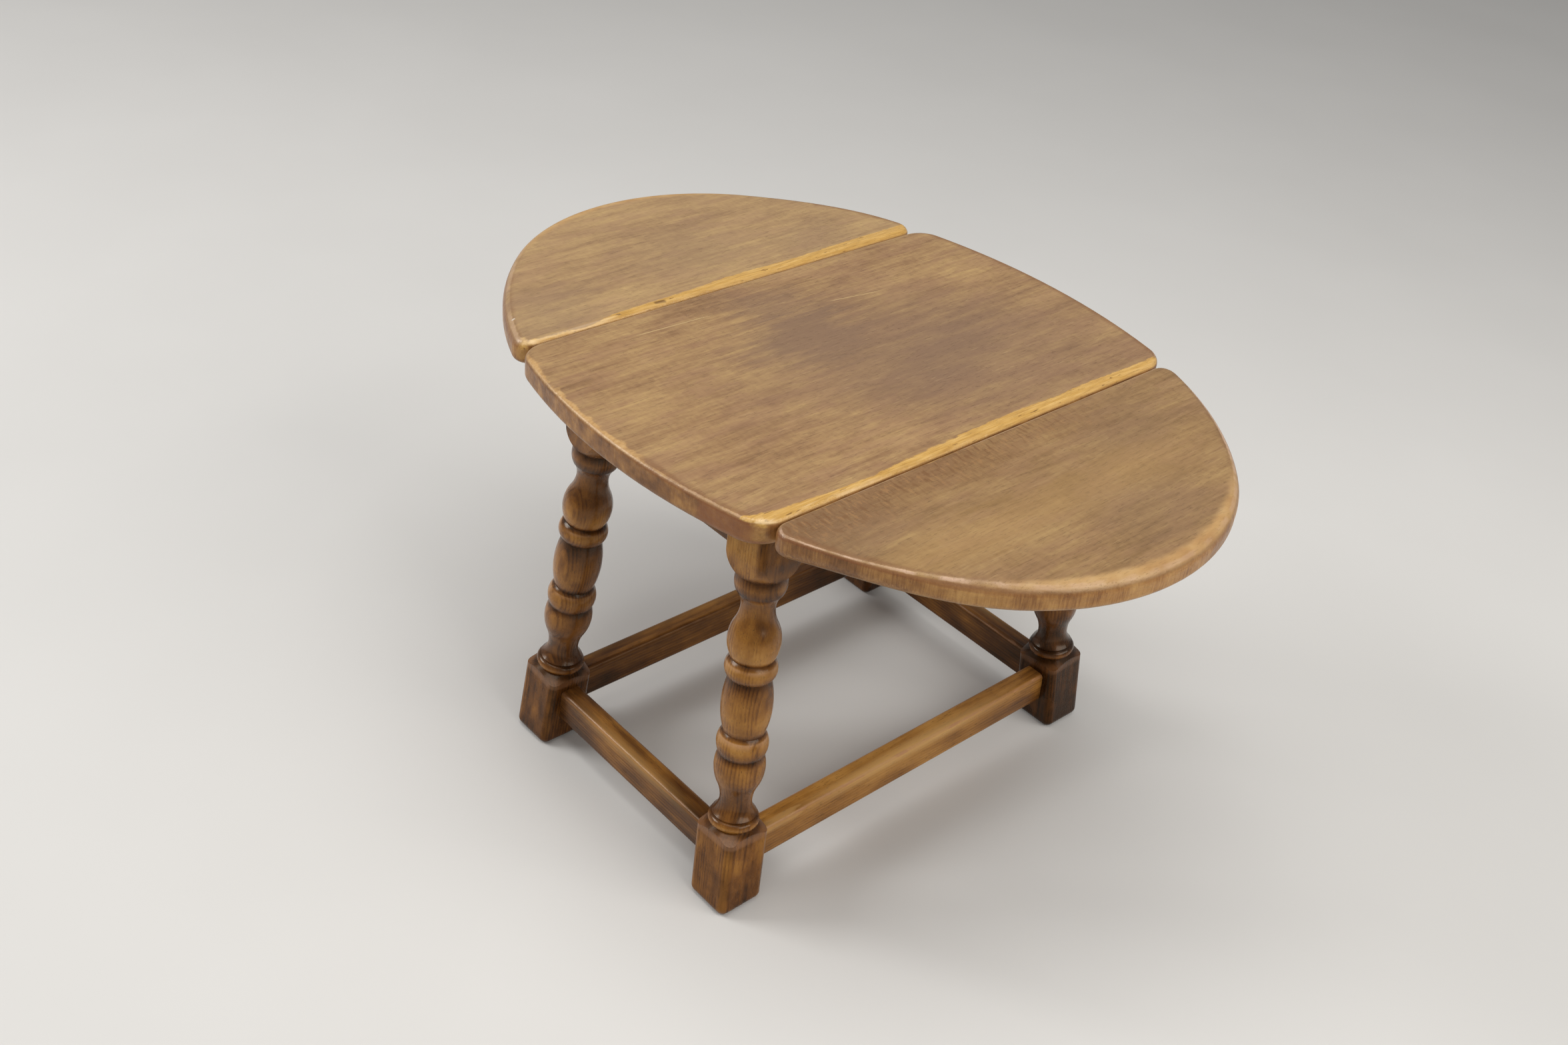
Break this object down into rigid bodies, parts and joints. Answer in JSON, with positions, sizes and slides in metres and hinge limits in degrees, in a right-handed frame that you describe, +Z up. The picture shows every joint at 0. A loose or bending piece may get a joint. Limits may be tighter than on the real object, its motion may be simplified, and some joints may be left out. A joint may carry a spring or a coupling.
{
  "type": "butterfly folding table",
  "caption": "Low oval drop-leaf table: fixed centre panel and hinged leaves on swing-out wings, splayed bobbin-turned legs, box stretchers.",
  "frame": {"origin": "on the floor, under the middle of the top", "axes": "+Z up; X runs across the three boards of the top, from the left leaf (-X) to the right leaf (+X); Y runs along the seams, front is -Y. Stored open, with both leaves up and the wings folded away"},
  "size_m": [0.7, 0.5038, 0.4],
  "materials": {
    "top_oak": "satin, waxed, medium brown oak",
    "frame_oak": "satin, dark stained oak",
    "hidden_oak": "matt, unpolished",
    "iron": "satin, dulled",
    "brass": "satin, tarnished"
  },
  "bodies": {
    "root": {"centre_panel": "top_oak", "leg_front_left": "frame_oak", "leg_front_right": "frame_oak", "leg_back_left": "frame_oak", "leg_back_right": "frame_oak", "side_stretcher_left": "frame_oak", "side_rail_left": "frame_oak", "knuckle_strip_left": "hidden_oak", "side_stretcher_right": "frame_oak", "side_rail_right": "frame_oak", "knuckle_strip_right": "hidden_oak", "end_stretcher_front": "frame_oak", "end_rail_front": "frame_oak", "fixing_cleat_front": "hidden_oak", "end_stretcher_back": "frame_oak", "end_rail_back": "frame_oak", "fixing_cleat_back": "hidden_oak", "cleat_screws": "iron", "strip_screws": "iron", "hinge_screws_panel": "iron", "wing_pin_left_front": "iron", "hinge_panel_plate_left_front": "brass", "hinge_pin_left_front": "brass", "wing_pin_left_back": "iron", "hinge_panel_plate_left_back": "brass", "hinge_pin_left_back": "brass", "wing_pin_right_front": "iron", "hinge_panel_plate_right_front": "brass", "hinge_pin_right_front": "brass", "wing_pin_right_back": "iron", "hinge_panel_plate_right_back": "brass", "hinge_pin_right_back": "brass"},
    "leaf_left": {"leaf_board_left": "top_oak", "hinge_screws_leaf_left": "iron", "hinge_leaf_plate_left_front": "brass", "hinge_leaf_plate_left_back": "brass"},
    "leaf_right": {"leaf_board_right": "top_oak", "hinge_screws_leaf_right": "iron", "hinge_leaf_plate_right_front": "brass", "hinge_leaf_plate_right_back": "brass"},
    "wing_left_front": {"wing_left_front": "hidden_oak"},
    "wing_left_back": {"wing_left_back": "hidden_oak"},
    "wing_right_front": {"wing_right_front": "hidden_oak"},
    "wing_right_back": {"wing_right_back": "hidden_oak"}
  },
  "joints": [
    {"name": "leaf_left_hinge", "type": "hinge", "parent": "root", "child": "leaf_left", "pos_m": [-0.152, 0, 0.3755], "axis": [0, 1, 0], "range_deg": [-90, 0]},
    {"name": "leaf_right_hinge", "type": "hinge", "parent": "root", "child": "leaf_right", "pos_m": [0.152, 0, 0.3755], "axis": [0, -1, 0], "range_deg": [-90, 0]},
    {"name": "wing_left_front_hinge", "type": "hinge", "parent": "root", "child": "wing_left_front", "pos_m": [-0.12228, -0.027, 0.3495], "axis": [0, 0, -1], "range_deg": [0, 90]},
    {"name": "wing_left_back_hinge", "type": "hinge", "parent": "root", "child": "wing_left_back", "pos_m": [-0.12228, 0.027, 0.3495], "axis": [0, 0, 1], "range_deg": [0, 90]},
    {"name": "wing_right_front_hinge", "type": "hinge", "parent": "root", "child": "wing_right_front", "pos_m": [0.12228, -0.027, 0.3495], "axis": [0, 0, 1], "range_deg": [0, 90]},
    {"name": "wing_right_back_hinge", "type": "hinge", "parent": "root", "child": "wing_right_back", "pos_m": [0.12228, 0.027, 0.3495], "axis": [0, 0, -1], "range_deg": [0, 90]}
  ]
}
